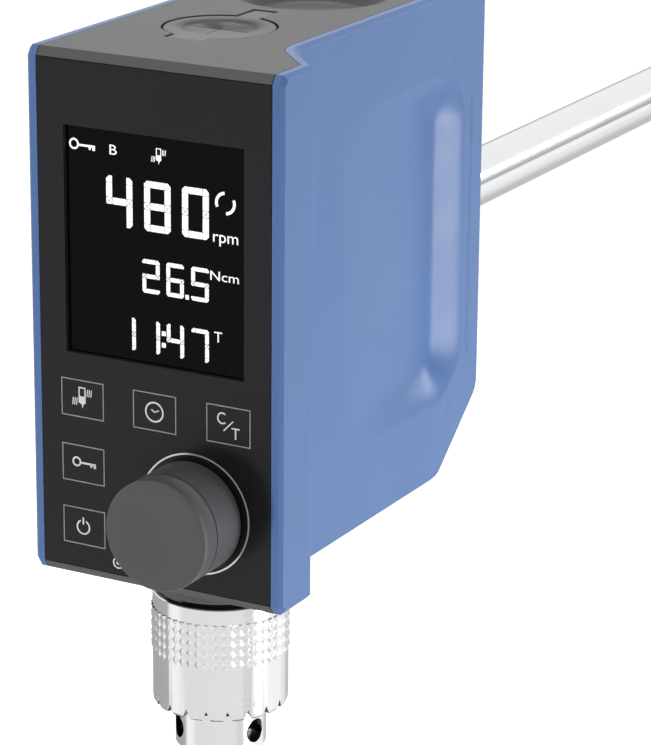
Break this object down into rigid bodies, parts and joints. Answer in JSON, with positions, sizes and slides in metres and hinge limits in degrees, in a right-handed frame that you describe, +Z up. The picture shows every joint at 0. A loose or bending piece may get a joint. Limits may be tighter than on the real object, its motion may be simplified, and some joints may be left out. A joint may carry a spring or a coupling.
{
  "type": "overhead stirrer",
  "caption": "Overhead laboratory stirrer: a box case with a display, keys and a push-and-turn knob, a holding rod at its back and a keyed three-jaw chuck on a hollow spindle below.",
  "frame": {"origin": "on the output axis at the face of the chuck's nose", "axes": "+Z up along the output axis, the control panel faces -Y, +X to the right of someone who faces the panel, the holding rod runs along +Y"},
  "size_m": [0.0579, 0.2839, 0.1575],
  "materials": {
    "shell_blue": "satin, fine moulded",
    "cover_grey": "matt, fine texture",
    "screw_steel": "blackened",
    "foil_black": "satin foil",
    "frame_plastic": "matt",
    "print_white": "printed",
    "dome_steel": "bright",
    "window_black": "gloss",
    "module_plastic": "matt",
    "board_green": "satin",
    "encoder_metal": "plated",
    "shaft_steel": "ground",
    "knob_grey": "soft touch",
    "cap_grey": "soft, matt",
    "cast_aluminium": "as cast",
    "rod_steel": "polished",
    "post_brass": "turned",
    "socket_black": "moulded",
    "bearing_steel": "ground",
    "seal_rubber": "matt",
    "gear_plastic": "moulded",
    "pinion_brass": "hobbed",
    "motor_can": "plated",
    "stator_copper": "enamelled",
    "magnet_dark": "coated",
    "chuck_chrome": "bright, satin turned",
    "jaw_steel": "hardened"
  },
  "bodies": {
    "housing": {"left_shell": "shell_blue", "right_shell": "shell_blue", "top_cover": "cover_grey", "bottom_cover": "cover_grey", "rear_cover": "cover_grey", "rear_screws": "screw_steel", "front_foil": "foil_black", "front_panel": "frame_plastic", "light_ring": "print_white", "key_domes": "dome_steel", "display_window": "window_black", "display_module": "module_plastic", "control_board": "board_green", "encoder_body": "encoder_metal", "chassis": "cast_aluminium", "extension_rod": "rod_steel", "rod_screw": "screw_steel", "driver_board": "board_green", "board_posts": "post_brass", "power_socket": "socket_black", "data_socket": "socket_black", "lower_bearing_outer": "bearing_steel", "upper_bearing_outer": "bearing_steel", "shaft_seal": "seal_rubber", "motor_housing": "motor_can", "motor_end_plate": "motor_can", "motor_screws": "screw_steel", "motor_stator": "stator_copper", "motor_bearings": "bearing_steel"},
    "output_spindle": {"spindle": "shaft_steel", "spindle_gear": "gear_plastic", "lower_bearing_inner": "bearing_steel", "lower_bearing_balls": "bearing_steel", "upper_bearing_inner": "bearing_steel", "upper_bearing_balls": "bearing_steel", "chuck_body": "chuck_chrome"},
    "motor_armature": {"motor_rotor": "magnet_dark", "motor_shaft": "shaft_steel", "pinion": "pinion_brass"},
    "chuck_collar": {"chuck_sleeve": "chuck_chrome", "chuck_nut": "bearing_steel"},
    "jaw_a": {"jaw_1": "jaw_steel"},
    "jaw_b": {"jaw_2": "jaw_steel"},
    "jaw_c": {"jaw_3": "jaw_steel"},
    "switch_plunger": {"encoder_plunger": "module_plastic"},
    "control_knob": {"encoder_shaft": "shaft_steel", "knob_body": "knob_grey", "knob_cap": "knob_grey"},
    "spindle_cap": {"push_through_cap": "cap_grey"}
  },
  "joints": [
    {"name": "spindle_turn", "type": "hinge", "parent": "housing", "child": "output_spindle", "pos_m": [0, 0, 0.05], "axis": [0, 0, 1], "continuous": true},
    {"name": "motor_turn", "type": "hinge", "parent": "housing", "child": "motor_armature", "pos_m": [0, 0.0225, 0.09], "axis": [0, 0, 1], "continuous": true},
    {"name": "sleeve_turn", "type": "hinge", "parent": "output_spindle", "child": "chuck_collar", "pos_m": [0, 0, 0.02], "axis": [0, 0, 1], "range_deg": [0, 3960]},
    {"name": "jaw_1_slide", "type": "slide", "parent": "output_spindle", "child": "jaw_a", "axis": [-0.1664, -0.1983, -0.9659], "range_m": [0, 0.01545]},
    {"name": "jaw_2_slide", "type": "slide", "parent": "output_spindle", "child": "jaw_b", "axis": [0.2549, -0.0449, -0.9659], "range_m": [0, 0.01545]},
    {"name": "jaw_3_slide", "type": "slide", "parent": "output_spindle", "child": "jaw_c", "axis": [-0.0885, 0.2432, -0.9659], "range_m": [0, 0.01545]},
    {"name": "knob_push", "type": "slide", "parent": "housing", "child": "switch_plunger", "axis": [0, 1, 0], "range_m": [0, 0.0005], "stiffness_N_per_m": 400, "springref_m": -0.005},
    {"name": "knob_turn", "type": "hinge", "parent": "switch_plunger", "child": "control_knob", "pos_m": [0.01432, -0.0348, 0.0662], "axis": [0, -1, 0], "continuous": true},
    {"name": "cap_lift", "type": "slide", "parent": "housing", "child": "spindle_cap", "axis": [0, 0, 1], "range_m": [0, 0.012]}
  ],
  "couplings": [
    {"joint": "motor_turn", "follows": "spindle_turn", "ratio": -4},
    {"joint": "jaw_1_slide", "follows": "sleeve_turn", "m_per_rad": 0.00022361},
    {"joint": "jaw_2_slide", "follows": "sleeve_turn", "m_per_rad": 0.00022361},
    {"joint": "jaw_3_slide", "follows": "sleeve_turn", "m_per_rad": 0.00022361}
  ]
}
